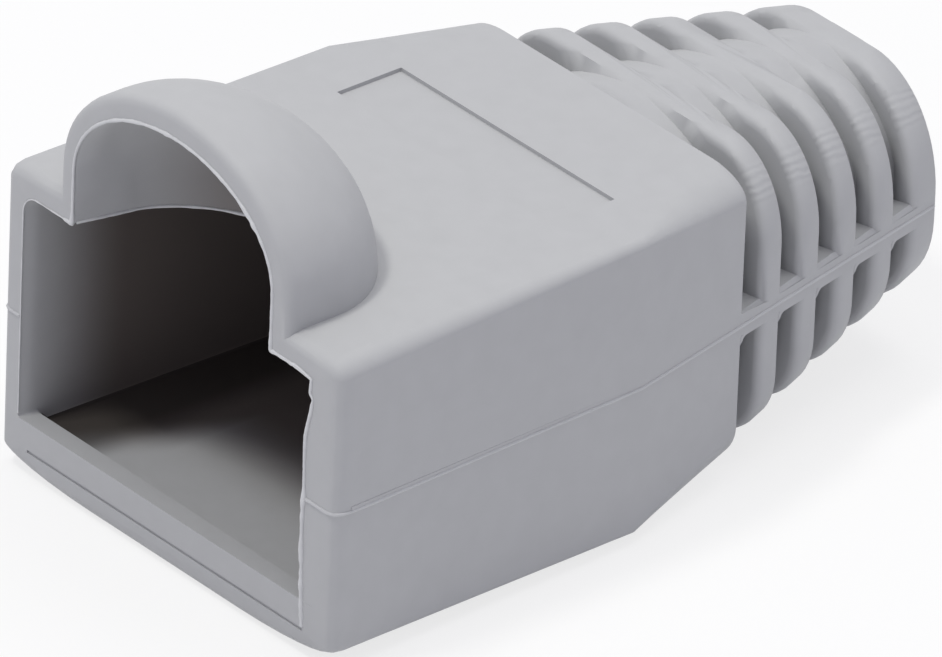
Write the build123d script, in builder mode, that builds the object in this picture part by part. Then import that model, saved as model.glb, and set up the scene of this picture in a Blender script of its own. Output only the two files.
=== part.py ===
from build123d import *

from math import cos, radians, sin
import os

# Strain relief boot for a modular plug: one piece moulded in soft plastic.
# The mouth faces -Y and the cable leaves along +Y. The boot rests on its flat bottom at Z = 0,
# with X = 0 on its mirror plane and Y = 0 halfway along its length. Sizes are in millimetres.
# Distances along the boot are measured from the mouth towards the cable end, and a share is of its length.

# Outer shell
length = 24.2
mouth_width = 14.3
bend_share = 0.458
bend_width = 13.63
shoulder_share = 0.642
tail_width = 8.04
deck_height = 9.54
tail_top = 8.65
rib_bottom = 0.27
tail_bottom = 1.65
parting_height = 5.0

# Corner roundings of the outer sections, each as width and height
mouth_upper_corner = (0.6, 0.5)
mouth_lower_corner = (4.0, 0.7)
bend_upper_corner = (0.28, 0.24)
bend_lower_corner = (1.66, 0.48)
shoulder_upper_corner = (1.5, 0.78)
shoulder_lower_corner = (2.6, 1.77)
rib_upper_corner = (2.03, 2.45)
rib_lower_corner = (2.0, 1.92)
end_upper_corner = (2.8, 3.35)
end_lower_corner = (2.6, 2.8)

# Hood over the plug's latch
hood_height = 14.12
hood_width = 9.72
hood_straight = 0.85
hood_upright = 0.95
hood_wall = 0.7
hood_crown_wall = 0.82
hood_root = 0.4

# Plug pocket, lip, throat and cable hole
side_wall = 0.9
roof_wall = 0.95
roof_rim = 0.72
floor_wall = 1.4
lip_height = 1.74
lip_depth = 0.6
lip_ramp = 0.35
lead_in = 0.1
lead_depth = 0.32
pocket_depth = 11.4
pocket_corner = 0.6
throat_length = 2.6
throat_diameter = 7.0
cable_diameter = 6.0
hole_chamfer = 0.2

# Ribbed tail: rings round a rounded stem, tied along both sides by a flush band
rib_count = 5
end_ring_extra = 0.26
slot_share = 0.475
slot_depth = 1.1
stem_end_width = 6.5
stem_corner = 2.8
stem_step = 0.06
band_above = 0.32
band_below = 0.45

# Edges, label recess, shut-off groove and parting ridge
rim_inset = 0.36
rim_depth = 0.55
hood_edge = 0.3
hollow_edge = 0.1
rib_front_edge = 0.3
rib_back_edge = 0.1
soft_flats = 3
crisp_flats = 1
slot_corner = 0.2
label_width = 9.05
label_from = 9.55
label_to = 11.84
label_depth = 0.12
groove_height = 0.84
groove_length = 11.8
groove_width = 0.1
groove_depth = 0.1
ridge_height = 0.035
ridge_width = 0.14

mouth_y = -length / 2
bend_at = bend_share * length
shoulder_at = shoulder_share * length
rib_pitch = (length - shoulder_at - end_ring_extra) / rib_count
slot_width = slot_share * rib_pitch


def station(distance):
    return Plane.XZ.offset(-mouth_y - distance)


def between(distance, start, end, start_value, end_value):
    share = (distance - start) / (end - start)
    return start_value + share * (end_value - start_value)


def edge_steps(inset, depth, flats):
    turns = [radians(90 * step / flats) for step in range(flats + 1)]
    return [(depth * (1 - cos(turn)), inset * (1 - sin(turn))) for turn in turns]


def shell_section(distance, start, end, inset=0):
    sizes = [between(distance, start[0], end[0], a, b) for a, b in zip(start[1:], end[1:])]
    width, bottom, top = sizes[:3]
    low_w, low_h, up_w, up_h = [size - inset for size in sizes[3:]]
    half = width / 2 - inset
    bottom = bottom + inset
    top = top - inset
    with BuildSketch(station(distance)) as section:
        with BuildLine():
            Line((0, bottom), (half - low_w, bottom))
            EllipticalCenterArc((half - low_w, bottom + low_h), low_w, low_h, start_angle=-90)
            Line((half, bottom + low_h), (half, top - up_h))
            EllipticalCenterArc((half - up_w, top - up_h), up_w, up_h, start_angle=0)
            Line((half - up_w, top), (0, top))
            mirror(about=Plane.YZ)
        make_face()
    return section.sketch


def hood_section(plane, base, half_width, upright, rise):
    with BuildSketch(plane) as section:
        with BuildLine():
            Line((0, base), (half_width, base))
            Line((half_width, base), (half_width, base + upright))
            EllipticalCenterArc((0, base + upright), half_width, rise, start_angle=0)
            mirror(about=Plane.YZ)
        make_face()
    return section.sketch


def pocket_section(distance, width, bottom):
    top = deck_height - between(distance, 0, pocket_depth, roof_rim, roof_wall)
    with BuildSketch(station(distance)) as section:
        with Locations((0, (bottom + top) / 2)):
            RectangleRounded(width, top - bottom, pocket_corner)
    return section.sketch


def pocket_width(distance):
    return between(distance, 0, bend_at, mouth_width, bend_width) - 2 * side_wall


# Outer sections: distance, width, bottom, top, then the lower and the upper corner
shoulder_width = between(shoulder_at, bend_at, length, bend_width, tail_width)
stem_width = shoulder_width - 2 * slot_depth
stem_corners = (stem_corner,) * 4
at_mouth = (0, mouth_width, 0, deck_height, *mouth_lower_corner, *mouth_upper_corner)
at_bend = (bend_at, bend_width, 0, deck_height, *bend_lower_corner, *bend_upper_corner)
at_shoulder = (shoulder_at, shoulder_width, 0, deck_height, *shoulder_lower_corner, *shoulder_upper_corner)
at_ribs = (shoulder_at, shoulder_width, rib_bottom, deck_height, *rib_lower_corner, *rib_upper_corner)
at_end = (length, tail_width, tail_bottom, tail_top, *end_lower_corner, *end_upper_corner)
at_stem = (shoulder_at, stem_width, rib_bottom + stem_step, deck_height - stem_step, *stem_corners)
at_stem_end = (length, stem_end_width, tail_bottom + stem_step, tail_top - stem_step, *stem_corners)

floor_from = lip_depth + lip_ramp
hood_half = hood_width / 2
hood_rise = hood_height - deck_height - hood_upright
hood_axis = Axis((0, mouth_y + hood_straight, deck_height), (-1, 0, 0))

# Core: all that is hollow inside the boot, drawn as one solid
with BuildPart() as core:
    lead = pocket_section(0, pocket_width(0) + 2 * lead_in, lip_height)
    entry = pocket_section(lead_depth, pocket_width(lead_depth), lip_height)
    lip_top = pocket_section(lip_depth, pocket_width(lip_depth), lip_height)
    lip_foot = pocket_section(floor_from, pocket_width(floor_from), floor_wall)
    pocket_end = pocket_section(pocket_depth, pocket_width(pocket_depth), floor_wall)
    loft(sections=[lead, entry, lip_top, lip_foot, pocket_end], ruled=True)

    throat_start = mouth_y + pocket_depth
    throat_end = throat_start + throat_length
    throat_overlap = throat_length / 2
    with BuildSketch(Plane.YZ):
        with BuildLine():
            Polyline(
                (throat_start - throat_overlap, parting_height),
                (throat_start - throat_overlap, parting_height + throat_diameter / 2),
                (throat_start, parting_height + throat_diameter / 2),
                (throat_end, parting_height + cable_diameter / 2),
                (-mouth_y, parting_height + cable_diameter / 2),
                (-mouth_y, parting_height),
                close=True,
            )
        make_face()
    revolve(axis=Axis((0, 0, parting_height), (0, 1, 0)))

    # Hollow of the hood: flared at its front edge and open through the roof below
    hollow_half = hood_half - hood_wall
    hollow_rise = hood_rise - hood_crown_wall
    hollow_base = deck_height - 2 * roof_wall
    hollow_upright = hood_upright + 2 * roof_wall
    hollow = []
    for depth, flare in [(0, hollow_edge), (hollow_edge, 0), (hood_straight, 0)]:
        plane = station(depth)
        hollow.append(
            hood_section(plane, hollow_base, hollow_half + flare, hollow_upright, hollow_rise + flare)
        )
    loft(sections=hollow, ruled=True)
    hollow_back = hood_section(station(hood_straight), deck_height, hollow_half, hood_upright, hollow_rise)
    revolve(hollow_back, axis=hood_axis, revolution_arc=90)
    hollow_plan = hood_section(
        Plane.XY.offset(deck_height), mouth_y, hollow_half, hood_straight + hood_upright, hollow_rise
    )
    extrude(hollow_plan, amount=-2 * roof_wall)

# Bands: flush with the sides of the rings, with a round under each at the start of every lower slot
with BuildPart() as bands:
    band_bottom = parting_height - band_below
    band_end = length - rib_back_edge
    band_end_width = between(band_end, bend_at, length, bend_width, tail_width)
    with BuildSketch(Plane.XY.offset(band_bottom - slot_corner)):
        with BuildLine():
            Polyline(
                (0, mouth_y + bend_at),
                (bend_width / 2, mouth_y + bend_at),
                (band_end_width / 2, mouth_y + band_end),
                (0, mouth_y + band_end),
            )
            mirror(about=Plane.YZ)
        make_face()
    extrude(amount=slot_corner + band_below + band_above)
    with BuildSketch(Plane.YZ) as band_side:
        with Locations((0, parting_height + (band_above - band_below) / 2)):
            Rectangle(length, band_above + band_below)
        for index in range(rib_count):
            slot_y = mouth_y + shoulder_at + index * rib_pitch
            with Locations((slot_y, band_bottom)):
                Rectangle(slot_corner, slot_corner, align=(Align.MIN, Align.MAX))
            with Locations((slot_y + slot_corner, band_bottom - slot_corner)):
                Circle(slot_corner, mode=Mode.SUBTRACT)
    extrude(amount=mouth_width / 2, both=True, mode=Mode.INTERSECT)

with BuildPart() as boot:
    rim_steps = edge_steps(rim_inset, rim_depth, soft_flats)
    back_steps = edge_steps(rib_back_edge, rib_back_edge, crisp_flats)
    front = [shell_section(depth, at_mouth, at_bend, inset) for depth, inset in rim_steps]
    bend = shell_section(bend_at, at_mouth, at_bend)
    back = [
        shell_section(shoulder_at - depth, at_bend, at_shoulder, inset)
        for depth, inset in reversed(back_steps)
    ]
    loft(sections=[*front, bend, *back], ruled=True)

    # Hood: an upright arch, turned back about its foot line until it lies on the deck
    arch_base = deck_height - hood_root
    arch_upright = hood_root + hood_upright
    arch = []
    for depth, inset in [*edge_steps(hood_edge, hood_edge, soft_flats), (hood_straight, 0)]:
        plane = station(depth)
        arch.append(hood_section(plane, arch_base, hood_half - inset, arch_upright, hood_rise - inset))
    loft(sections=arch, ruled=True)
    arch_back = hood_section(station(hood_straight), deck_height, hood_half, hood_upright, hood_rise)
    revolve(arch_back, axis=hood_axis, revolution_arc=90)

    # Tail: stem, rings that follow the taper, and the bands between upper and lower slots
    stem_start = shell_section(shoulder_at, at_stem, at_stem_end)
    stem_stop = shell_section(length, at_stem, at_stem_end)
    loft(sections=[stem_start, stem_stop], ruled=True)
    for index in range(rib_count):
        rib_front = shoulder_at + index * rib_pitch + slot_width
        rib_back = shoulder_at + (index + 1) * rib_pitch
        if index == rib_count - 1:
            rib_back = length
        ring = []
        for depth, inset in edge_steps(rib_front_edge, rib_front_edge, soft_flats):
            ring.append(shell_section(rib_front + depth, at_ribs, at_end, inset))
        for depth, inset in reversed(back_steps):
            ring.append(shell_section(rib_back - depth, at_ribs, at_end, inset))
        loft(sections=ring, ruled=True)
    add(bands.part)

    with BuildSketch(Plane.XY.offset(deck_height)):
        with Locations((0, mouth_y + (label_from + label_to) / 2)):
            Rectangle(label_width, label_to - label_from)
    extrude(amount=-label_depth, mode=Mode.SUBTRACT)

    # Parting ridge: a thin line of flash round the plan outline
    with BuildSketch(Plane.XY.offset(parting_height - ridge_width / 2)):
        with BuildLine():
            Polyline(
                (0, mouth_y + rim_depth),
                (mouth_width / 2 + ridge_height, mouth_y + rim_depth),
                (bend_width / 2 + ridge_height, mouth_y + bend_at),
                (band_end_width / 2 + ridge_height, mouth_y + band_end),
                (0, mouth_y + band_end),
            )
            mirror(about=Plane.YZ)
        make_face()
    extrude(amount=ridge_width)

    add(core.part, mode=Mode.SUBTRACT)
    hole_edges = boot.edges().filter_by(GeomType.CIRCLE).sort_by(Axis.Y)
    chamfer(hole_edges[-1], hole_chamfer)
    with BuildSketch(station(0)):
        with Locations((0, groove_height)):
            Rectangle(groove_length, groove_width)
    extrude(amount=-groove_depth, mode=Mode.SUBTRACT)

boot.part.label = "boot"
os.makedirs("parts", exist_ok=True)
export_step(boot.part, "parts/boot.step")
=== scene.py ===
import math

import bmesh
import bpy
from mathutils import Matrix, Vector


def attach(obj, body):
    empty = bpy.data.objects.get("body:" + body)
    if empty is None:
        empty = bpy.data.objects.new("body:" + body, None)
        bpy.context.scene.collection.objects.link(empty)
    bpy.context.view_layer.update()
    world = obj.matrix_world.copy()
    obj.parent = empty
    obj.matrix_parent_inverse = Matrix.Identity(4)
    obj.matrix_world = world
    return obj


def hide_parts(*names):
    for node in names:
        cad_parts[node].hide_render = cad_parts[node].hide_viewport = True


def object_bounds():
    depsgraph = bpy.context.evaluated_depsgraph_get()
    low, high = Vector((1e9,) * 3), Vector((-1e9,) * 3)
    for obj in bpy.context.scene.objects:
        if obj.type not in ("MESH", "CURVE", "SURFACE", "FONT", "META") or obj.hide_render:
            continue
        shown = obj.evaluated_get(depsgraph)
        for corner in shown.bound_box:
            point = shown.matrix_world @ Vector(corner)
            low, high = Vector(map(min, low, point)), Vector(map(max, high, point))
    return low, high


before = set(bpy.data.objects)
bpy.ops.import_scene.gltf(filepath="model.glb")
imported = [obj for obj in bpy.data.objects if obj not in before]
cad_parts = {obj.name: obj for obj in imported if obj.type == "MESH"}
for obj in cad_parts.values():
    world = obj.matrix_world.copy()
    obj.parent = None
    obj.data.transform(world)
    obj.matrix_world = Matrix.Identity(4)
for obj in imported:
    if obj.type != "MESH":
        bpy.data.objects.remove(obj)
cadLow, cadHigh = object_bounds()
scene = bpy.context.scene
mm = 0.001
mouthY = cadLow.y  # the open end faces -Y
axisZ = 5.0  # mm, height of the cable's axis
planeSpare = 0.002 * mm  # points nearer than this to a plane lie on it
print("frame loaded", tuple(round(v / mm, 2) for v in cadHigh - cadLow), "mm")


def linkObject(name, data):
    made = bpy.data.objects.new(name, data)
    scene.collection.objects.link(made)
    return made


def addNode(tree, kind, **settings):
    made = tree.nodes.new(kind)
    for key, value in settings.items():
        setattr(made, key, value)
    return made


def bakeMesh(made):  # evaluated result as a plain mesh, with no live modifier left
    depsgraph = bpy.context.evaluated_depsgraph_get()
    mesh = bpy.data.meshes.new_from_object(made.evaluated_get(depsgraph))
    mesh.name = made.name
    made.modifiers.clear()
    made.data = mesh
    return made


def ridePiece(piece):
    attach(piece, "root")
    print(piece.name, len(piece.data.polygons), "faces")


# Grain of the moulded surface, shared by the skin and its flash
grainDetail = {"fine": 3.0, "mottle": 4.0}


def makeGrainGroup(detail):
    group = bpy.data.node_groups.new("mouldGrain", "ShaderNodeTree")
    for name in ("Fine Scale", "Mottle Scale", "Mottle"):
        group.interface.new_socket(name, in_out="INPUT", socket_type="NodeSocketFloat")
    group.interface.new_socket("Tone", in_out="INPUT", socket_type="NodeSocketColor")
    group.interface.new_socket("Color", in_out="OUTPUT", socket_type="NodeSocketColor")
    group.interface.new_socket("Height", in_out="OUTPUT", socket_type="NodeSocketFloat")
    inputs = addNode(group, "NodeGroupInput")
    outputs = addNode(group, "NodeGroupOutput")
    coords = addNode(group, "ShaderNodeTexCoord")
    fine = addNode(group, "ShaderNodeTexNoise")
    mottle = addNode(group, "ShaderNodeTexNoise")
    fine.inputs["Detail"].default_value = detail["fine"]
    mottle.inputs["Detail"].default_value = detail["mottle"]
    shade = addNode(group, "ShaderNodeMapRange")
    low = addNode(group, "ShaderNodeMath", operation="SUBTRACT")
    high = addNode(group, "ShaderNodeMath", operation="ADD")
    low.inputs[0].default_value = 1.0
    high.inputs[0].default_value = 1.0
    tint = addNode(group, "ShaderNodeVectorMath", operation="SCALE")
    links = group.links
    links.new(coords.outputs["Object"], fine.inputs["Vector"])
    links.new(coords.outputs["Object"], mottle.inputs["Vector"])
    links.new(inputs.outputs["Fine Scale"], fine.inputs["Scale"])
    links.new(inputs.outputs["Mottle Scale"], mottle.inputs["Scale"])
    links.new(inputs.outputs["Mottle"], low.inputs[1])
    links.new(inputs.outputs["Mottle"], high.inputs[1])
    links.new(mottle.outputs["Fac"], shade.inputs["Value"])
    links.new(low.outputs[0], shade.inputs["To Min"])
    links.new(high.outputs[0], shade.inputs["To Max"])
    links.new(inputs.outputs["Tone"], tint.inputs[0])
    links.new(shade.outputs["Result"], tint.inputs["Scale"])
    links.new(tint.outputs["Vector"], outputs.inputs["Color"])
    links.new(fine.outputs["Fac"], outputs.inputs["Height"])
    return group


grainGroup = makeGrainGroup(grainDetail)

pvc = {
    "tone": (0.472, 0.477, 0.484, 1.0),
    "roughness": 0.62,
    "specular": 0.32,
    "fineScale": 9000.0,
    "mottleScale": 1400.0,
    "mottle": 0.04,
    "bump": 0.06,
    "bumpDepth": 0.02 * mm,
}
flashPvc = {
    **pvc,
    "tone": (0.640, 0.646, 0.655, 1.0),  # thin flash looks paler than the wall
    "roughness": 0.5,
    "specular": 0.4,
    "mottleScale": 2600.0,
    "mottle": 0.1,
}
# the parting line's bead is paler than the wall: a painted highlight for the light its top catches, on top
# of its real round shape
seamHighlightPvc = {**pvc, "tone": (0.540, 0.545, 0.555, 1.0)}
pocketShade = {  # the pocket darkens with its depth, and sooner at the left of its floor
    "from": 2.2 * mm,
    "to": 6.2 * mm,
    "tone": (0.140, 0.120, 0.110, 1.0),
    "floorWithin": 0.5 * mm,  # faces that count no deeper than this are the floor's
    "sideFrom": -2.8 * mm,
    "sideSlope": 1.9,
    "lipFrom": 0.55 * mm,
    "lipTo": 0.9 * mm,
    "cornerFrom": 1.2 * mm,  # the floor's left corner lies in the deepest shade
    "cornerTo": 3.6 * mm,
    "cornerLeft": 0.4,
}
slotShade = {  # the slots darken towards the stem, and less on top
    "ringHalf": (6.599 * mm, 0.2131),  # half width of the rings at y 0, and its loss along y
    "ringRise": (4.893 * mm, 0.1027),  # half height, in the same way
    "ringPower": 4.0,  # how square the rings are
    "from": 0.92,  # shares of the rings' size between which the slots darken
    "to": 0.78,
    "loss": 0.5,
    "low": 0.3,  # heights, as shares, between which the slots turn to the light
    "high": 0.7,
    "topShare": 0.25,
}
toolMarks = {  # fine ripples across the upper corners of the rings
    "pitch": 0.33 * mm,
    "slope": 0.145,
    "line": -2.95 * mm,
    "reach": 1.0 * mm,
    "fromY": 3.6 * mm,
    "fadeIn": 0.1 * mm,
    "depth": 0.005 * mm,
    "unevenScale": 1800.0,
    "uneven": 0.3 * mm,
}


def makePvc(name, look):
    material = bpy.data.materials.new(name)
    material.use_nodes = True
    tree = material.node_tree
    shader = tree.nodes["Principled BSDF"]
    shader.inputs["Roughness"].default_value = look["roughness"]
    shader.inputs["Specular IOR Level"].default_value = look["specular"]
    grain = addNode(tree, "ShaderNodeGroup", name="grain", node_tree=grainGroup)
    grain.inputs["Tone"].default_value = look["tone"]
    grain.inputs["Fine Scale"].default_value = look["fineScale"]
    grain.inputs["Mottle Scale"].default_value = look["mottleScale"]
    grain.inputs["Mottle"].default_value = look["mottle"]
    bump = addNode(tree, "ShaderNodeBump", name="grainBump")
    bump.inputs["Strength"].default_value = look["bump"]
    bump.inputs["Distance"].default_value = look["bumpDepth"]
    tree.links.new(grain.outputs["Color"], shader.inputs["Base Color"])
    tree.links.new(grain.outputs["Height"], bump.inputs["Height"])
    tree.links.new(bump.outputs["Normal"], shader.inputs["Normal"])
    return material


def mathNode(tree, operation, first, second=None):  # a socket or a number for each input
    made = addNode(tree, "ShaderNodeMath", operation=operation)
    for socket, value in zip(made.inputs, (first, second)):
        if isinstance(value, (int, float)):
            socket.default_value = value
        elif value is not None:
            tree.links.new(value, socket)
    return made.outputs[0]


def rampNode(tree, value, start, end, low, high):
    made = addNode(tree, "ShaderNodeMapRange", interpolation_type="SMOOTHSTEP")
    tree.links.new(value, made.inputs["Value"])
    made.inputs["From Min"].default_value = start
    made.inputs["From Max"].default_value = end
    made.inputs["To Min"].default_value = low
    made.inputs["To Max"].default_value = high
    return made.outputs["Result"]


def ringShare(tree, value, y, size):  # share of the rings' half size at that place along the tail
    half, taper = size
    outside = mathNode(tree, "SUBTRACT", half, mathNode(tree, "MULTIPLY", y, taper))
    return mathNode(tree, "DIVIDE", value, outside)


def shadePocket(tree, place, shade):  # the wall's tone with the pocket's shade, and what its corner keeps
    x, y = place[:2]
    advance = addNode(tree, "ShaderNodeAttribute", attribute_name="advance").outputs["Fac"]
    depth = mathNode(tree, "ADD", mathNode(tree, "SUBTRACT", y, mouthY), advance)
    beside = mathNode(tree, "MAXIMUM", mathNode(tree, "SUBTRACT", shade["sideFrom"], x), 0.0)
    isFloor = mathNode(tree, "LESS_THAN", mathNode(tree, "ABSOLUTE", advance), shade["floorWithin"])
    pastLip = rampNode(tree, y, mouthY + shade["lipFrom"], mouthY + shade["lipTo"], 0.0, shade["sideSlope"])
    sooner = mathNode(tree, "MULTIPLY", mathNode(tree, "MULTIPLY", beside, pastLip), isFloor)
    dark = rampNode(tree, mathNode(tree, "ADD", depth, sooner), shade["from"], shade["to"], 0.0, 1.0)
    shaded = addNode(tree, "ShaderNodeMix", data_type="RGBA")
    tree.links.new(dark, shaded.inputs["Factor"])
    tree.links.new(tree.nodes["grain"].outputs["Color"], shaded.inputs["A"])
    shaded.inputs["B"].default_value = shade["tone"]
    corner = rampNode(tree, sooner, shade["cornerFrom"], shade["cornerTo"], 1.0, shade["cornerLeft"])
    return shaded.outputs["Result"], corner


def shadeSlots(tree, place, inSlot, shade):  # share of its tone that a slot keeps
    x, y, z = place
    beyond = ringShare(tree, mathNode(tree, "ABSOLUTE", x), y, shade["ringHalf"])
    above = ringShare(tree, mathNode(tree, "SUBTRACT", z, axisZ * mm), y, shade["ringRise"])
    wide = mathNode(tree, "POWER", beyond, shade["ringPower"])
    high = mathNode(tree, "POWER", mathNode(tree, "ABSOLUTE", above), shade["ringPower"])
    reach = mathNode(tree, "POWER", mathNode(tree, "ADD", wide, high), 1 / shade["ringPower"])
    deeper = rampNode(tree, reach, shade["to"], shade["from"], shade["loss"], 0.0)
    upward = rampNode(tree, above, shade["low"], shade["high"], 1.0, shade["topShare"])
    loss = mathNode(tree, "MULTIPLY", deeper, upward)
    return mathNode(tree, "SUBTRACT", 1.0, mathNode(tree, "MULTIPLY", inSlot, loss))


def rippleRings(tree, coords, place, inSlot, marks):  # height of the tool marks
    x, y, z = place
    across = mathNode(tree, "SUBTRACT", mathNode(tree, "ABSOLUTE", x), z)
    drift = addNode(tree, "ShaderNodeTexNoise")
    drift.inputs["Scale"].default_value = marks["unevenScale"]
    tree.links.new(coords, drift.inputs["Vector"])
    uneven = mathNode(tree, "ADD", across, mathNode(tree, "MULTIPLY", drift.outputs["Fac"], marks["uneven"]))
    wave = mathNode(tree, "SINE", mathNode(tree, "MULTIPLY", uneven, math.tau / marks["pitch"]))
    follow = mathNode(tree, "ADD", across, mathNode(tree, "MULTIPLY", y, marks["slope"]))
    off = mathNode(tree, "ABSOLUTE", mathNode(tree, "SUBTRACT", follow, marks["line"]))
    near = rampNode(tree, off, marks["reach"] / 2, marks["reach"], 1.0, 0.0)
    behind = rampNode(tree, y, marks["fromY"], marks["fromY"] + marks["fadeIn"], 0.0, 1.0)
    onRing = mathNode(tree, "MULTIPLY", behind, mathNode(tree, "SUBTRACT", 1.0, inSlot))
    return mathNode(tree, "MULTIPLY", wave, mathNode(tree, "MULTIPLY", near, onRing))


def makeBootPvc(look, pocket, slots, marks):  # wall material with its painted shades and the tool marks
    material = makePvc("bootPvc", look)
    tree = material.node_tree
    shader = tree.nodes["Principled BSDF"]
    coords = addNode(tree, "ShaderNodeTexCoord").outputs["Object"]
    split = addNode(tree, "ShaderNodeSeparateXYZ")
    tree.links.new(coords, split.inputs["Vector"])
    place = list(split.outputs)
    inSlot = addNode(tree, "ShaderNodeAttribute", attribute_name="inSlot").outputs["Fac"]

    tone, corner = shadePocket(tree, place, pocket)
    kept = mathNode(tree, "MULTIPLY", shadeSlots(tree, place, inSlot, slots), corner)
    dimmed = addNode(tree, "ShaderNodeVectorMath", operation="SCALE")
    tree.links.new(tone, dimmed.inputs[0])
    tree.links.new(kept, dimmed.inputs["Scale"])
    tree.links.new(dimmed.outputs["Vector"], shader.inputs["Base Color"])

    bump = addNode(tree, "ShaderNodeBump")
    bump.inputs["Strength"].default_value = 1.0
    bump.inputs["Distance"].default_value = marks["depth"]
    tree.links.new(rippleRings(tree, coords, place, inSlot, marks), bump.inputs["Height"])
    tree.links.new(tree.nodes["grainBump"].outputs["Normal"], bump.inputs["Normal"])
    tree.links.new(bump.outputs["Normal"], shader.inputs["Normal"])
    return material


greyPvc = makePvc("greyPvc", pvc)
paleFlash = makePvc("paleFlash", flashPvc)
seamHighlight = makePvc("seamHighlight", seamHighlightPvc)
bootPvc = makeBootPvc(pvc, pocketShade, slotShade, toolMarks)
print("materials ready")

# Skin: the moulded shell with round edges shaded round and a few forms eased, sizes in mm
skin = {
    "mergeDistance": 0.0004,
    "sharpAngle": 42.0,  # edges flatter than this are shaded round
    "flatAngle": 1.0,  # edges of the slots' walls flatter than this are dissolved
    "frontSkip": 0.02,  # faces nearer than this to the mouth's plane are the front's
    "hollowNarrowing": 0.043,  # share per mm of depth that the hood's hollow draws in
    "hollowStart": 0.2,
    "hollowDeep": 5.4,
    "hollowFrom": 8.75,
    "hollowFoot": 8.82,  # the hollow's faces look towards this height at the mouth
    "hollowHalf": 4.6,
    "pocketHalf": 6.44,
    "pocketHeights": (1.3, 8.9),
    "pocketDeep": 11.6,
    "throatFrom": 11.3,
    "throatReach": 2.75,
    "cornerHalves": (5.0, 6.42),  # where the lower corners of the pocket lie
    "cornerHeights": (1.3, 2.7),
    "cornerReach": 0.61,  # these corners are nearly sharp
    "cornerShare": 0.2,
    "grooveHeight": 0.84,  # the groove under the lip is shallow
    "grooveSpare": 0.06,
    "grooveDepths": (0.08, 0.12),
    "grooveHalf": 6.0,
    "grooveRise": 0.05,
    "bandTop": 5.32,  # the foot of each upper slot slopes outward
    "bandSpare": 0.004,
    "bandDrop": 0.12,
    "bandFromY": 3.4,
    "bandHalf": 0.5,  # half height and depth of the flush band along each side
    "bandDeep": 0.3,
    "sidePlan": [(-12.1, 7.15), (-11.55, 7.15), (-1.016, 6.815), (12.1, 4.02)],  # y and half width
    "ridgeBand": (4.9, 5.1),  # heights of the parting ridge, which is made flush
    "ridgeLeast": 0.015,
    "slotFirstY": 3.436,  # start of the first slot between the rings
    "slotPitch": 1.6807,
    "slotWidth": 0.798,
    "slotCount": 5,
    "slotMargin": 0.12,
    "stemPlan": [(3.436, 4.765, 9.48), (12.1, 3.25, 8.59)],  # y, half width and top
    "stemCorner": 2.8,
    "stemCuts": [0.35 * step for step in range(-13, 14)],  # added lines along the stem's top
    "stemRound": 0.8,  # share of the way to a fully round top
    "stemFade": 6,  # power by which this fades towards the stem's sides
    "stemStep": 0.06,
    "stemFromZ": 6.0,
    "stemTolerance": 0.009,
    "spineHalf": 1.2,
    "spineRise": 0.055,
    "ringFrontRound": 0.3,
    "ringBackEdge": 0.1,
    "besideFromZ": 7.0,
    "besideSpare": 0.01,
    "wallSpare": 0.01,
    "stemSpare": 0.001,
    "wallTilt": 0.99,  # parts of a face's normal that tell walls, shelves and sides apart
    "stemTilt": 0.6,
    "upTilt": 0.5,
    "shelfTilt": 0.9,
    "uprightTilt": 0.2,
    "sideTilt": 0.8,
    "floorAdvance": 0.0,  # how much deeper each face counts for the pocket's shade
    "wallAdvance": 2.5,
    "hoodAdvance": 1.0,
    "openAdvance": -100.0,
}


def hollowFaces(shape, look):  # inner faces of the hood
    foot = Vector((0, mouthY, look["hollowFoot"] * mm))
    found = []
    for f in shape.faces:
        middle = f.calc_center_median()
        deep = (middle.y - mouthY) / mm
        if middle.z < look["hollowFrom"] * mm or not look["frontSkip"] < deep < look["hollowDeep"]:
            continue
        if abs(middle.x) < look["hollowHalf"] * mm and f.normal.dot(middle - foot) < 0:
            found.append(f)
    return found


def sideHalf(y):  # half width of the sides at a place along the boot, in mm
    plan = skin["sidePlan"]
    for (nearY, nearHalf), (farY, farHalf) in zip(plan, plan[1:]):
        if y <= farY:
            return nearHalf + (farHalf - nearHalf) * (y - nearY) / (farY - nearY)
    return plan[-1][1]


def easeForms(shape, look):  # the hollow, the groove, the parting ridge and the pocket's lower corners
    for v in {v for f in hollowFaces(shape, look) for v in f.verts}:
        deep = (v.co.y - mouthY) / mm
        if deep > look["hollowStart"]:
            v.co.x *= 1 - look["hollowNarrowing"] * deep
    nearHalf, farHalf = look["cornerHalves"]
    lowCorner, highCorner = look["cornerHeights"]
    nearGroove, farGroove = look["grooveDepths"]
    lowRidge, highRidge = look["ridgeBand"]
    rows = {}
    for v in shape.verts:
        x, y, z = (value / mm for value in v.co)
        deep = y - mouthY / mm
        half = abs(x)
        if nearHalf < half < farHalf and lowCorner < z < highCorner and deep < look["pocketDeep"]:
            rows.setdefault((x > 0, round(deep, 2)), []).append(v)
        inGroove = abs(z - look["grooveHeight"]) < look["grooveSpare"] and half < look["grooveHalf"]
        if inGroove and nearGroove < deep < farGroove:
            v.co.y -= look["grooveRise"] * mm
        if lowRidge < z < highRidge and half > sideHalf(y) + look["ridgeLeast"]:
            v.co.x = math.copysign(sideHalf(y) * mm, x)
    reach = look["cornerReach"] * mm
    for row in rows.values():
        outermost = max((v.co.x for v in row), key=abs)
        corner = Vector((outermost, row[0].co.y, min(v.co.z for v in row)))
        for v in row:
            if abs(v.co.x - corner.x) < reach and v.co.z - corner.z < reach:
                v.co = corner.lerp(v.co, look["cornerShare"])


def slotPlace(y, look):  # start of the slot at or before y, and how far y lies past it, in mm
    turn = math.floor((y - look["slotFirstY"] + look["slotMargin"]) / look["slotPitch"])
    begin = look["slotFirstY"] + look["slotPitch"] * min(max(turn, 0), look["slotCount"] - 1)
    return begin, y - begin


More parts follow.
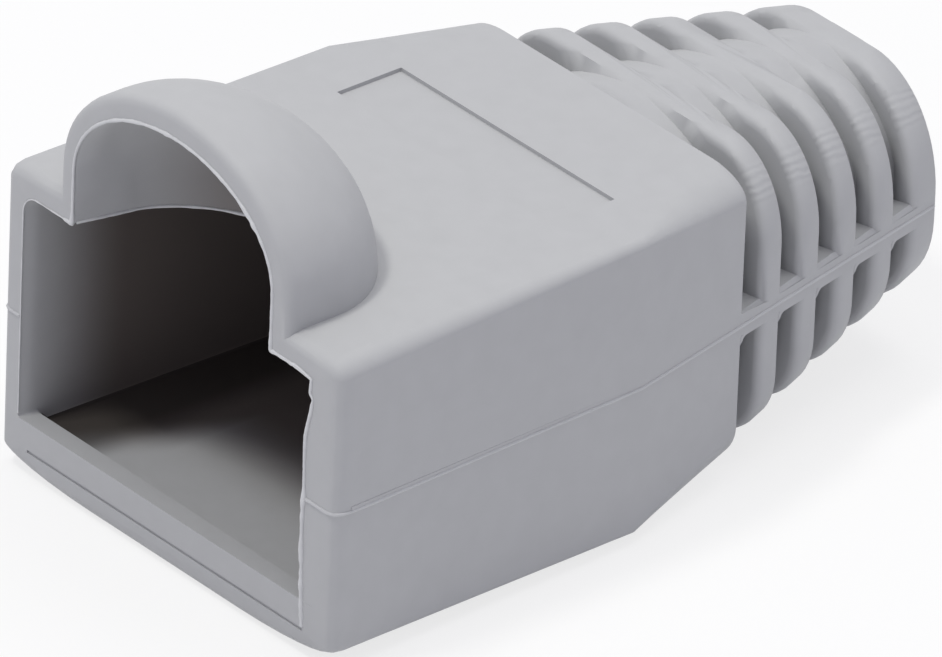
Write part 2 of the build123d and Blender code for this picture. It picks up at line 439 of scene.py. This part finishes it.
def stemAt(x, y, look):  # the stem's half width and top at y, and how far its corner falls at x, in mm
    (nearY, nearHalf, nearTop), (farY, farHalf, farTop) = look["stemPlan"]
    share = (y - nearY) / (farY - nearY)
    half = nearHalf + (farHalf - nearHalf) * share
    corner = look["stemCorner"]
    over = min(corner, max(0.0, abs(x) - (half - corner)))
    return half, nearTop + (farTop - nearTop) * share, corner - math.sqrt(corner ** 2 - over ** 2)


def onStem(v, look):  # points of the stem's top, in a slot or at the ring edges beside it
    x, y, z = (value / mm for value in v.co)
    past = slotPlace(y, look)[1]
    farEdge = look["slotWidth"] + look["ringFrontRound"]
    if z < look["stemFromZ"] or not -look["slotMargin"] < past < farEdge:
        return False
    half, top, fall = stemAt(x, y, look)
    return abs(x) < half and abs(top - fall - z) < look["stemTolerance"]


def besideStem(f, look):  # faces of the ring edges that stand at a slot's front or back
    if any(v.co.z < look["besideFromZ"] * mm for v in f.verts):
        return False
    width, spare = look["slotWidth"], look["besideSpare"]
    pasts = [slotPlace(v.co.y / mm, look)[1] for v in f.verts]
    back = all(-look["ringBackEdge"] - spare < past < spare for past in pasts)
    return back or all(-spare < past - width < look["ringFrontRound"] + spare for past in pasts)


def cutStem(shape, mark, look):  # added lines along the stem's top and the ring edges, so that they can bend
    walls = {f for f in shape.faces if not f[mark] and besideStem(f, look)}
    inner = [e for e in shape.edges if all(f in walls for f in e.link_faces)]
    bmesh.ops.dissolve_limit(shape, angle_limit=math.radians(look["flatAngle"]), edges=inner)
    for cut in look["stemCuts"]:
        faces = [f for f in shape.faces if f[mark] or besideStem(f, look)]
        ends = {e for f in faces for e in f.edges}
        dots = {v for f in faces for v in f.verts}
        geom = list(dots) + list(ends) + faces
        bmesh.ops.bisect_plane(shape, geom=geom, plane_co=(cut * mm, 0, 0), plane_no=(1, 0, 0))


def roundStem(shape, look):  # the slots deepen sooner to both sides of a flush spine
    mark = shape.faces.layers.int.new("stem")
    for f in shape.faces:
        f[mark] = int(all(onStem(v, look) for v in f.verts))
    cutStem(shape, mark, look)
    width, frontRound = look["slotWidth"], look["ringFrontRound"]
    for v in {v for f in shape.faces if f[mark] for v in f.verts}:
        x, y = v.co.x / mm, v.co.y / mm
        begin, past = slotPlace(y, look)
        half, top, fall = stemAt(x, y, look)
        reach = min(1.0, abs(x) / half)
        rounder = (top - axisZ) * (1 - math.sqrt(1 - reach ** 2))
        drop = look["stemRound"] * max(0.0, rounder - fall) * (1 - reach ** look["stemFade"])
        rise = look["spineRise"] * max(0.0, 1 - (x / look["spineHalf"]) ** 2)
        rise *= 1 - min(1.0, max(0.0, past / width))
        newZ = top - fall - drop + rise
        below = max(0.0, top + look["stemStep"] - newZ)
        newY = y
        if past > width - look["stemTolerance"]:
            curve = max(0.0, frontRound - below)
            inset = frontRound - math.sqrt(frontRound ** 2 - curve ** 2)
            newY = min(y, begin + width + inset)
        elif past < look["stemTolerance"]:
            newY = begin - max(0.0, look["ringBackEdge"] - below)
        v.co.y, v.co.z = newY * mm, newZ * mm
    bmesh.ops.dissolve_degenerate(shape, dist=look["mergeDistance"] * mm, edges=shape.edges)
    bmesh.ops.triangulate(shape, faces=shape.faces)


def bandEdges(shape, look):  # outer edges of the shelves at the foot of the upper slots
    found = []
    for e in shape.edges:
        if any(abs(v.co.z - look["bandTop"] * mm) > look["bandSpare"] * mm for v in e.verts):
            continue
        if any(v.co.y < look["bandFromY"] * mm for v in e.verts):
            continue
        tilts = sorted(abs(f.normal.z) for f in e.link_faces)
        if len(tilts) == 2 and tilts[1] > look["shelfTilt"] and tilts[0] < look["uprightTilt"]:
            facing = min(e.link_faces, key=lambda f: abs(f.normal.z)).normal
            if abs(facing.x) > look["sideTilt"] and facing.x * e.verts[0].co.x > 0:
                found.append(e)
    return found


def pocketAdvance(f, inHollow, look):  # how much deeper a face counts for the pocket's shade, in mm
    middle = f.calc_center_median()
    x, z, deep = middle.x / mm, middle.z / mm, (middle.y - mouthY) / mm
    low, high = look["pocketHeights"]
    if abs(x) < look["pocketHalf"] and low < z < high and look["frontSkip"] < deep < look["pocketDeep"]:
        return look["floorAdvance"] if f.normal.z > look["upTilt"] else look["wallAdvance"]
    facesAxis = f.normal.x * x + f.normal.z * (z - axisZ) < 0
    if deep > look["throatFrom"] and math.hypot(x, z - axisZ) < look["throatReach"] and facesAxis:
        return look["wallAdvance"]
    return look["hoodAdvance"] if inHollow else look["openAdvance"]


def liesInSlot(f, look):  # walls of the slots and the stem between them, without the flush bands
    x, y, z = (value / mm for value in f.calc_center_median())
    past, width, tilt = slotPlace(y, look)[1], look["slotWidth"], abs(f.normal.y)
    isWall = tilt > look["wallTilt"] and min(abs(past), abs(past - width)) < look["wallSpare"]
    isStem = tilt < look["stemTilt"] and look["stemSpare"] < past < width - look["stemSpare"]
    isShelf = abs(f.normal.z) > look["upTilt"] or abs(x) > sideHalf(y) - look["bandDeep"]
    onBand = abs(z - axisZ) < look["bandHalf"] and isShelf
    return (isWall or isStem) and not onBand


def makeSkin(look):
    shape = bmesh.new()
    shape.from_mesh(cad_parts["boot"].data)
    bmesh.ops.remove_doubles(shape, verts=shape.verts, dist=look["mergeDistance"] * mm)
    shape.normal_update()
    easeForms(shape, look)
    roundStem(shape, look)
    shape.normal_update()
    soft = bandEdges(shape, look)
    for v in {v for e in soft for v in e.verts}:
        v.co.z -= look["bandDrop"] * mm
    shape.normal_update()
    hollow = set(hollowFaces(shape, look))
    shape.verts.index_update()
    softPairs = {frozenset(v.index for v in e.verts) for e in soft}
    advances = [pocketAdvance(f, f in hollow, look) * mm for f in shape.faces]
    shades = [float(deeper < 0 and liesInSlot(f, look)) for f, deeper in zip(shape.faces, advances)]
    points = [v.co.copy() for v in shape.verts]
    faces = [[v.index for v in f.verts] for f in shape.faces]
    shape.free()
    mesh = bpy.data.meshes.new("bootSkin")
    mesh.from_pydata(points, [], faces)
    mesh.shade_smooth()
    mesh.set_sharp_from_angle(angle=math.radians(look["sharpAngle"]))
    sharp = mesh.attributes["sharp_edge"].data
    for e in mesh.edges:
        if frozenset(e.vertices) in softPairs:
            sharp[e.index].value = False
    for name, values in (("advance", advances), ("inSlot", shades)):
        mesh.attributes.new(name, "FLOAT", "FACE").data.foreach_set("value", values)
    mesh.materials.append(bootPvc)
    made = linkObject("bootSkin", mesh)
    weighted = made.modifiers.new("faceWeights", "WEIGHTED_NORMAL")
    weighted.keep_sharp = True
    print("eased", len(soft), "slot feet,", len(hollow), "hollow faces")
    return bakeMesh(made)


bootSkin = makeSkin(skin)
ridePiece(bootSkin)
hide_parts("boot")


# Runs of points along the skin, for the flash to follow
def walkChains(pairs):  # joins loose edges into ordered runs
    links = {}
    for a, b in pairs:
        links.setdefault(a, []).append(b)
        links.setdefault(b, []).append(a)
    chains = []
    used = set()
    for start in [key for key in links if len(links[key]) == 1] + list(links):
        if start in used:
            continue
        chain = [start]
        used.add(start)
        ahead = links[start]
        while ahead:
            chain.append(ahead[0])
            used.add(ahead[0])
            ahead = [key for key in links[chain[-1]] if key not in used]
        chains.append(chain)
    return chains


def startAt(loop, first, isAhead):  # a closed loop from one of its points on, turned the right way
    at = loop.index(first)
    loop = loop[at:] + loop[:at]
    return loop if isAhead(loop[0], loop[1]) else [loop[0]] + loop[:0:-1]


def thicken(points, step):  # adds points so that no gap is longer than the step
    dense = [points[0]]
    for a, b in zip(points, points[1:]):
        count = max(1, math.ceil((b - a).length / step))
        dense += [a.lerp(b, i / count) for i in range(1, count + 1)]
    return dense


def skinShape():
    shape = bmesh.new()
    shape.from_mesh(bootSkin.data)
    return shape


# Bead of flash swept along a run of points
beadNoise = {"detail": 2.0, "low": 0.25, "high": 0.75}


def makeBeadTree(wander):
    tree = bpy.data.node_groups.new("flashBead", "GeometryNodeTree")
    tree.interface.new_socket("Path", in_out="INPUT", socket_type="NodeSocketGeometry")
    for name in ("Girth", "Spacing", "Wander", "Wander Scale"):
        tree.interface.new_socket(name, in_out="INPUT", socket_type="NodeSocketFloat")
    tree.interface.new_socket("Sides", in_out="INPUT", socket_type="NodeSocketInt")
    tree.interface.new_socket("Seed", in_out="INPUT", socket_type="NodeSocketFloat")
    tree.interface.new_socket("Material", in_out="INPUT", socket_type="NodeSocketMaterial")
    tree.interface.new_socket("Bead", in_out="OUTPUT", socket_type="NodeSocketGeometry")
    inputs = addNode(tree, "NodeGroupInput")
    outputs = addNode(tree, "NodeGroupOutput")
    toCurve = addNode(tree, "GeometryNodeMeshToCurve")
    spread = addNode(tree, "GeometryNodeResampleCurve", mode="LENGTH")
    swell = addNode(tree, "GeometryNodeInputNamedAttribute", data_type="FLOAT")
    swell.inputs["Name"].default_value = "swell"
    noise = addNode(tree, "ShaderNodeTexNoise", noise_dimensions="4D")
    noise.inputs["Detail"].default_value = wander["detail"]
    span = addNode(tree, "ShaderNodeMapRange")
    low = addNode(tree, "ShaderNodeMath", operation="SUBTRACT")
    high = addNode(tree, "ShaderNodeMath", operation="ADD")
    low.inputs[0].default_value = 1.0
    high.inputs[0].default_value = 1.0
    span.inputs["From Min"].default_value = wander["low"]
    span.inputs["From Max"].default_value = wander["high"]
    local = addNode(tree, "ShaderNodeMath", operation="MULTIPLY")
    radius = addNode(tree, "ShaderNodeMath", operation="MULTIPLY")
    profile = addNode(tree, "GeometryNodeCurvePrimitiveCircle")
    profile.inputs["Radius"].default_value = 1.0
    sweep = addNode(tree, "GeometryNodeCurveToMesh")
    sweep.inputs["Fill Caps"].default_value = True
    smooth = addNode(tree, "GeometryNodeSetShadeSmooth")
    real = addNode(tree, "GeometryNodeRealizeInstances")
    paint = addNode(tree, "GeometryNodeSetMaterial")
    links = tree.links
    links.new(inputs.outputs["Path"], toCurve.inputs["Mesh"])
    links.new(toCurve.outputs["Curve"], spread.inputs["Curve"])
    links.new(inputs.outputs["Spacing"], spread.inputs["Length"])
    links.new(inputs.outputs["Wander Scale"], noise.inputs["Scale"])
    links.new(inputs.outputs["Seed"], noise.inputs["W"])
    links.new(inputs.outputs["Wander"], low.inputs[1])
    links.new(inputs.outputs["Wander"], high.inputs[1])
    links.new(noise.outputs["Fac"], span.inputs["Value"])
    links.new(low.outputs[0], span.inputs["To Min"])
    links.new(high.outputs[0], span.inputs["To Max"])
    links.new(swell.outputs["Attribute"], local.inputs[0])
    links.new(inputs.outputs["Girth"], local.inputs[1])
    links.new(local.outputs[0], radius.inputs[0])
    links.new(span.outputs["Result"], radius.inputs[1])
    links.new(inputs.outputs["Sides"], profile.inputs["Resolution"])
    links.new(spread.outputs["Curve"], sweep.inputs["Curve"])
    links.new(profile.outputs["Curve"], sweep.inputs["Profile Curve"])
    links.new(radius.outputs[0], sweep.inputs["Scale"])
    links.new(sweep.outputs["Mesh"], smooth.inputs["Geometry"])
    links.new(smooth.outputs["Geometry"], real.inputs["Geometry"])
    links.new(real.outputs["Geometry"], paint.inputs["Geometry"])
    links.new(inputs.outputs["Material"], paint.inputs["Material"])
    links.new(paint.outputs["Geometry"], outputs.inputs["Bead"])
    return tree


beadTree = makeBeadTree(beadNoise)
beadSockets = {s.name: s.identifier for s in beadTree.interface.items_tree if s.in_out == "INPUT"}


def makeBead(name, runs, swells, look, material):
    points = [p for run in runs for p in run]
    edges = []
    first = 0
    for run in runs:
        edges += [(first + i, first + i + 1) for i in range(len(run) - 1)]
        first += len(run)
    mesh = bpy.data.meshes.new(name)
    mesh.from_pydata(points, edges, [])
    swell = mesh.attributes.new("swell", "FLOAT", "POINT")
    swell.data.foreach_set("value", swells)
    made = linkObject(name, mesh)
    sweep = made.modifiers.new("flashBead", "NODES")
    sweep.node_group = beadTree
    for key in ("Girth", "Spacing", "Wander", "Wander Scale", "Sides", "Seed"):
        sweep[beadSockets[key]] = look[key]
    sweep[beadSockets["Material"]] = material
    return bakeMesh(made)


# Thin skin of flash that narrows the mouth at its right: the torn inner edge in mm, downwards
rimFlash = {
    "tornEdge": [
        (5.55, 8.76), (5.95, 8.68), (5.95, 8.5), (5.92, 8.25), (6.04, 8.09), (5.98, 7.69), (5.87, 7.27),
        (5.79, 6.85), (5.78, 6.1), (5.81, 4.96), (5.77, 4.68), (5.77, 3.59), (5.81, 2.35), (5.84, 1.74),
    ],
    "foot": (5.9, 0.95),  # where the flash runs out on the front of the lip
    "wallSide": [(5.84, 1.66), (6.42, 1.66), (6.42, 8.2), (6.25, 8.62), (5.8, 8.86), (5.3, 8.86)],
    "thickness": 0.12,
    "recess": 0.006,
}


def makeRimFlash(look):
    outline = look["tornEdge"] + look["wallSide"]
    shape = bmesh.new()
    front = mouthY + look["recess"] * mm
    corners = [shape.verts.new((x * mm, front, z * mm)) for x, z in outline]
    sheet = shape.faces.new(corners)
    pushed = bmesh.ops.extrude_face_region(shape, geom=[sheet], use_keep_orig=True)["geom"]
    moved = [v for v in pushed if isinstance(v, bmesh.types.BMVert)]
    bmesh.ops.translate(shape, verts=moved, vec=(0, look["thickness"] * mm, 0))
    bmesh.ops.triangulate(shape, faces=shape.faces)
    bmesh.ops.recalc_face_normals(shape, faces=shape.faces)
    mesh = bpy.data.meshes.new("rimFlash")
    shape.to_mesh(mesh)
    shape.free()
    mesh.materials.append(greyPvc)
    return linkObject("rimFlash", mesh)


ridePiece(makeRimFlash(rimFlash))

# Pale line of flash from the left of the mouth, over the hood and down the torn edge
mouthFlash = {
    "Girth": 0.05 * mm,
    "Spacing": 0.05 * mm,
    "Wander": 0.35,
    "Wander Scale": 2600.0,
    "Sides": 8,
    "Seed": 3.0,
    "startZ": 2.4,  # mm, as are the next places
    "leftBefore": -4.6,
    "tornFrom": 5.0,
    "tornBelow": 8.8,
    "footBelow": 4.85,
    "inward": 0.03,  # mm into the opening
    "leftSwell": 0.45,
    "archSwell": 1.0,
    "tornSwell": 1.0,
    "footSwell": 1.35,
    "bumps": [  # x, z and reach in mm, and swell
        (-0.52, 13.25, 0.07, 0.35),
        (-0.36, 13.3, 0.1, 2.0),
        (3.0, 12.55, 0.25, 1.7),
        (3.4, 12.2, 0.15, 1.6),
        (4.2, 8.85, 0.2, 1.4),
        (-4.2, 8.85, 0.2, 1.5),
        (6.04, 8.1, 0.15, 0.6),
        (5.8, 4.95, 0.2, 1.5),
    ],
}


def mouthLoop():  # inner edge of the front face
    shape = skinShape()
    onFront = {f for f in shape.faces if all(abs(v.co.y - mouthY) < planeSpare for v in f.verts)}
    rims = [e for e in shape.edges if sum(f in onFront for f in e.link_faces) == 1]
    places = {v.index: v.co.copy() for e in rims for v in e.verts}
    chains = walkChains([(e.verts[0].index, e.verts[1].index) for e in rims])
    shape.free()

    def reach(chain):
        xs = [places[i].x for i in chain]
        zs = [places[i].z for i in chain]
        return (max(xs) - min(xs)) * (max(zs) - min(zs))

    inner = sorted(chains, key=reach)[-2]
    return [places[i] for i in inner]


def mouthRun(look):
    loop = mouthLoop()
    first = min((p for p in loop if p.x < 0), key=lambda p: abs(p.z - look["startZ"] * mm))
    run = []
    for p in startAt(loop, first, lambda a, b: b.z >= a.z):
        run.append(p)
        if p.x > look["tornFrom"] * mm:
            break
    run[-1] = Vector((look["tornFrom"] * mm, mouthY, run[-1].z))
    for x, z in rimFlash["tornEdge"] + [rimFlash["foot"]]:
        run.append(Vector((x * mm, mouthY, z * mm)))
    return thicken(run, look["Spacing"])


def makeMouthFlash(look):
    run = mouthRun(look)
    placed = []
    swells = []
    for i, p in enumerate(run):
        ahead = (run[min(i + 1, len(run) - 1)] - run[max(i - 1, 0)]).normalized()
        torn = p.x > look["tornFrom"] * mm and p.z < look["tornBelow"] * mm
        inward = 0 if torn else look["inward"] * mm
        placed.append(p + Vector((ahead.z, 0, -ahead.x)) * inward)
        x, z = p.x / mm, p.z / mm
        swell = look["leftSwell"] if x < look["leftBefore"] else look["archSwell"]
        if torn:
            swell = look["footSwell"] if z < look["footBelow"] else look["tornSwell"]
        for bumpX, bumpZ, reach, size in look["bumps"]:
            away = (x - bumpX) ** 2 + (z - bumpZ) ** 2
            swell *= 1 + (size - 1) * math.exp(-away / reach ** 2)
        swells.append(swell)
    return makeBead("mouthFlash", [placed], swells, look, paleFlash)


ridePiece(makeMouthFlash(mouthFlash))

# Low bead along the foot of the hood's inner back wall
hoodFlash = {
    "Girth": 0.045 * mm,
    "Spacing": 0.06 * mm,
    "Wander": 0.3,
    "Wander Scale": 2200.0,
    "Sides": 8,
    "Seed": 7.0,
    "heights": (8.4, 8.95),  # mm, where the edge that it follows lies
    "depths": (0.2, 5.2),
    "half": 4.4,
    "roofTilt": -0.9,  # the roof looks down, and the wall to the side
    "wallTilt": 0.3,
}


def hoodEdge(look):  # where the hood's inner back wall meets the pocket's roof
    shape = skinShape()
    low, high = (z * mm for z in look["heights"])
    near, far = (mouthY + y * mm for y in look["depths"])
    pairs = []
    places = {}
    for e in shape.edges:
        middle = (e.verts[0].co + e.verts[1].co) / 2
        inPlan = abs(middle.x) < look["half"] * mm and near < middle.y < far
        if not (inPlan and low < middle.z < high):
            continue
        tilts = sorted(f.normal.z for f in e.link_faces)
        if len(tilts) == 2 and tilts[0] < look["roofTilt"] and abs(tilts[1]) < look["wallTilt"]:
            pairs.append((e.verts[0].index, e.verts[1].index))
            places.update({v.index: v.co.copy() for v in e.verts})
    shape.free()
    longest = max(walkChains(pairs), key=len)
    return [places[i] for i in longest]


def makeHoodFlash(look):
    run = thicken(hoodEdge(look), look["Spacing"])
    return makeBead("hoodFlash", [run], [1.0] * len(run), look, paleFlash)


ridePiece(makeHoodFlash(hoodFlash))

# Parting line: a fine bead along both sides and across the front of the rim, its paler tone a painted
# highlight
partingLine = {
    "Girth": 0.05 * mm,
    "Spacing": 0.08 * mm,
    "Wander": 0.12,
    "Wander Scale": 1500.0,
    "Sides": 8,
    "Seed": 11.0,
    "height": 4.92,  # mm
    "tornX": 5.8,
    "frontTo": -2.0,  # up to here it follows the skin, and then the plan of the sides
    "tailEnd": 11.95,
    "leastStep": 0.0001,
}


def sideLine(side, look):  # outer contour of one side at the line's height, from the mouth on
    shape = skinShape()
    geom = list(shape.verts) + list(shape.edges) + list(shape.faces)
    level = (0, 0, look["height"] * mm)
    cut = bmesh.ops.bisect_plane(shape, geom=geom, plane_co=level, plane_no=(0, 0, 1))["geom_cut"]
    shape.verts.index_update()
    edges = [e for e in cut if isinstance(e, bmesh.types.BMEdge)]
    places = {v.index: v.co.copy() for e in edges for v in e.verts}
    chains = walkChains([(e.verts[0].index, e.verts[1].index) for e in edges])
    shape.free()
    loops = [[places[i] for i in chain] for chain in chains]
    loop = max((run for run in loops if all(p.x * side > 0 for p in run)), key=len)
    front = [p for p in loop if abs(p.y - mouthY) < planeSpare]
    first = min(front, key=lambda p: p.x * side)
    run = []
    for p in startAt(loop, first, lambda a, b: (b.x - a.x) * side > look["leastStep"] * mm):
        if p.y >= look["frontTo"] * mm:
            break
        run.append(p)
    return run


def makePartingLine(look):
    height = look["height"] * mm
    bendY = skin["sidePlan"][2][0]
    runs = []
    for side in (1, -1):
        run = sideLine(side, look)
        for y in (look["frontTo"], bendY, look["tailEnd"]):
            run.append(Vector((side * sideHalf(y) * mm, y * mm, height)))
        if side > 0:
            run.insert(0, Vector((look["tornX"] * mm, mouthY, height)))
        runs.append(thicken(run, look["Spacing"]))
    swells = [1.0] * sum(len(run) for run in runs)
    return makeBead("partingLine", runs, swells, look, seamHighlight)


ridePiece(makePartingLine(partingLine))

# Small fillets where each lower slot starts under the side band
slotFillets = {
    "Girth": 0.062 * mm,
    "Spacing": 0.05 * mm,
    "Wander": 0.0,
    "Wander Scale": 1000.0,
    "Sides": 10,
    "Seed": 1.0,
    "inset": 0.045,  # mm
    "heights": (4.28, 4.6),
    "tipSwell": 0.1,
    "taperShare": 0.5,  # share of its height over which a fillet swells
}


def makeSlotFillets(look):
    low, high = (height * mm for height in look["heights"])
    runs = []
    for side in (1, -1):
        for index in range(skin["slotCount"]):
            y = skin["slotFirstY"] + index * skin["slotPitch"] - look["inset"]
            x = side * (sideHalf(y) - look["inset"])
            ends = [Vector((x * mm, y * mm, z)) for z in (low, high)]
            runs.append(thicken(ends, look["Spacing"]))
    taper = look["taperShare"] * (high - low)
    shares = [min(1.0, (p.z - low) / taper) for run in runs for p in run]
    swells = [look["tipSwell"] + (1 - look["tipSwell"]) * share for share in shares]
    return makeBead("slotFillets", runs, swells, look, greyPvc)


ridePiece(makeSlotFillets(slotFillets))

# Studio
studio = {
    "floorSize": 2.0,
    "floorGap": 0.02 * mm,  # keeps the floor clear of the flat bottom
    "floorTone": (0.9, 0.9, 0.9, 1.0),
    "backdropTone": (1.0, 1.0, 1.0, 1.0),
    "backdropShare": 0.75,  # share of the plain backdrop that the floor shows to the camera
    "skyTone": (0.955, 0.955, 1.1, 1.0),
    "skyStrength": 0.47,
    "lampTone": (1.0, 0.995, 0.94),
    "lampAim": (0.0, 0.0, 0.005),
    "keyPower": 0.24,
    "keySize": 0.035,
    "keyPlace": (-0.0275, -0.1, 0.25),
    "topPower": 0.31,
    "topSize": 0.2,
    "topPlace": (0.0, 0.05, 0.3),
}


def seenRays(tree):  # camera, glossy and transmission rays see the plain backdrop
    rays = addNode(tree, "ShaderNodeLightPath")
    first = addNode(tree, "ShaderNodeMath", operation="ADD")
    second = addNode(tree, "ShaderNodeMath", operation="ADD", use_clamp=True)
    tree.links.new(rays.outputs["Is Camera Ray"], first.inputs[0])
    tree.links.new(rays.outputs["Is Glossy Ray"], first.inputs[1])
    tree.links.new(first.outputs[0], second.inputs[0])
    tree.links.new(rays.outputs["Is Transmission Ray"], second.inputs[1])
    return second.outputs[0]


def makeFloor(look):
    half = look["floorSize"] / 2
    mesh = bpy.data.meshes.new("studioFloor")
    low = -look["floorGap"]
    corners = [(-half, -half, low), (half, -half, low), (half, half, low), (-half, half, low)]
    mesh.from_pydata(corners, [], [(0, 1, 2, 3)])
    material = bpy.data.materials.new("studioFloor")
    material.use_nodes = True
    tree = material.node_tree
    tree.nodes.remove(tree.nodes["Principled BSDF"])
    paper = addNode(tree, "ShaderNodeBsdfDiffuse")
    paper.inputs["Color"].default_value = look["floorTone"]
    glow = addNode(tree, "ShaderNodeEmission")
    glow.inputs["Color"].default_value = look["backdropTone"]
    mix = addNode(tree, "ShaderNodeMixShader")
    share = addNode(tree, "ShaderNodeMath", operation="MULTIPLY")
    share.inputs[1].default_value = look["backdropShare"]
    tree.links.new(seenRays(tree), share.inputs[0])
    tree.links.new(share.outputs[0], mix.inputs["Fac"])
    tree.links.new(paper.outputs["BSDF"], mix.inputs[1])
    tree.links.new(glow.outputs["Emission"], mix.inputs[2])
    tree.links.new(mix.outputs["Shader"], tree.nodes["Material Output"].inputs["Surface"])
    mesh.materials.append(material)
    return linkObject("studioFloor", mesh)


def makeSky(look):
    world = bpy.data.worlds.new("studioSky")
    scene.world = world
    world.use_nodes = True
    tree = world.node_tree
    plain = tree.nodes["Background"]
    plain.inputs["Color"].default_value = look["skyTone"]
    plain.inputs["Strength"].default_value = look["skyStrength"]
    seen = addNode(tree, "ShaderNodeBackground")
    seen.inputs["Color"].default_value = look["backdropTone"]
    mix = addNode(tree, "ShaderNodeMixShader")
    tree.links.new(seenRays(tree), mix.inputs["Fac"])
    tree.links.new(plain.outputs["Background"], mix.inputs[1])
    tree.links.new(seen.outputs["Background"], mix.inputs[2])
    tree.links.new(mix.outputs["Shader"], tree.nodes["World Output"].inputs["Surface"])


def makeLamp(name, place, power, size):
    lamp = bpy.data.lights.new(name, "AREA")
    lamp.energy = power
    lamp.size = size
    lamp.color = studio["lampTone"]
    made = linkObject(name, lamp)
    made.location = place
    made.rotation_mode = "QUATERNION"
    made.rotation_quaternion = (Vector(studio["lampAim"]) - Vector(place)).to_track_quat("-Z", "Y")


makeFloor(studio)
makeSky(studio)
makeLamp("keyLamp", studio["keyPlace"], studio["keyPower"], studio["keySize"])
makeLamp("topLamp", studio["topPlace"], studio["topPower"], studio["topSize"])
scene.view_settings.view_transform = "Standard"
print("studio ready")

# Camera, found from the outline and the straight edges of the boot
camera = {
    "azimuth": 48.845,
    "elevation": 30.156,
    "roll": 2.254,
    "distance": 0.5458,
    "aim": (0.000869, -0.002057, 0.004394),
    "lens": 762.8,
    "sensor": 36.0,
    "clip": (0.01, 10.0),
}


def makeCamera(look):
    around = math.radians(look["azimuth"])
    rise = math.radians(look["elevation"])
    roll = math.radians(look["roll"])
    back = Vector((math.sin(around) * math.cos(rise), -math.cos(around) * math.cos(rise), math.sin(rise)))
    level = Vector((0, 0, 1)).cross(back).normalized()
    upright = back.cross(level)
    right = math.cos(roll) * level + math.sin(roll) * upright
    up = math.cos(roll) * upright - math.sin(roll) * level
    data = bpy.data.cameras.new("photoCamera")
    data.lens = look["lens"]
    data.sensor_width = look["sensor"]
    data.clip_start, data.clip_end = look["clip"]
    made = linkObject("photoCamera", data)
    turn = Matrix((right, up, back)).transposed().to_4x4()
    made.matrix_world = Matrix.Translation(Vector(look["aim"]) + look["distance"] * back) @ turn
    scene.camera = made


makeCamera(camera)
print("camera ready")
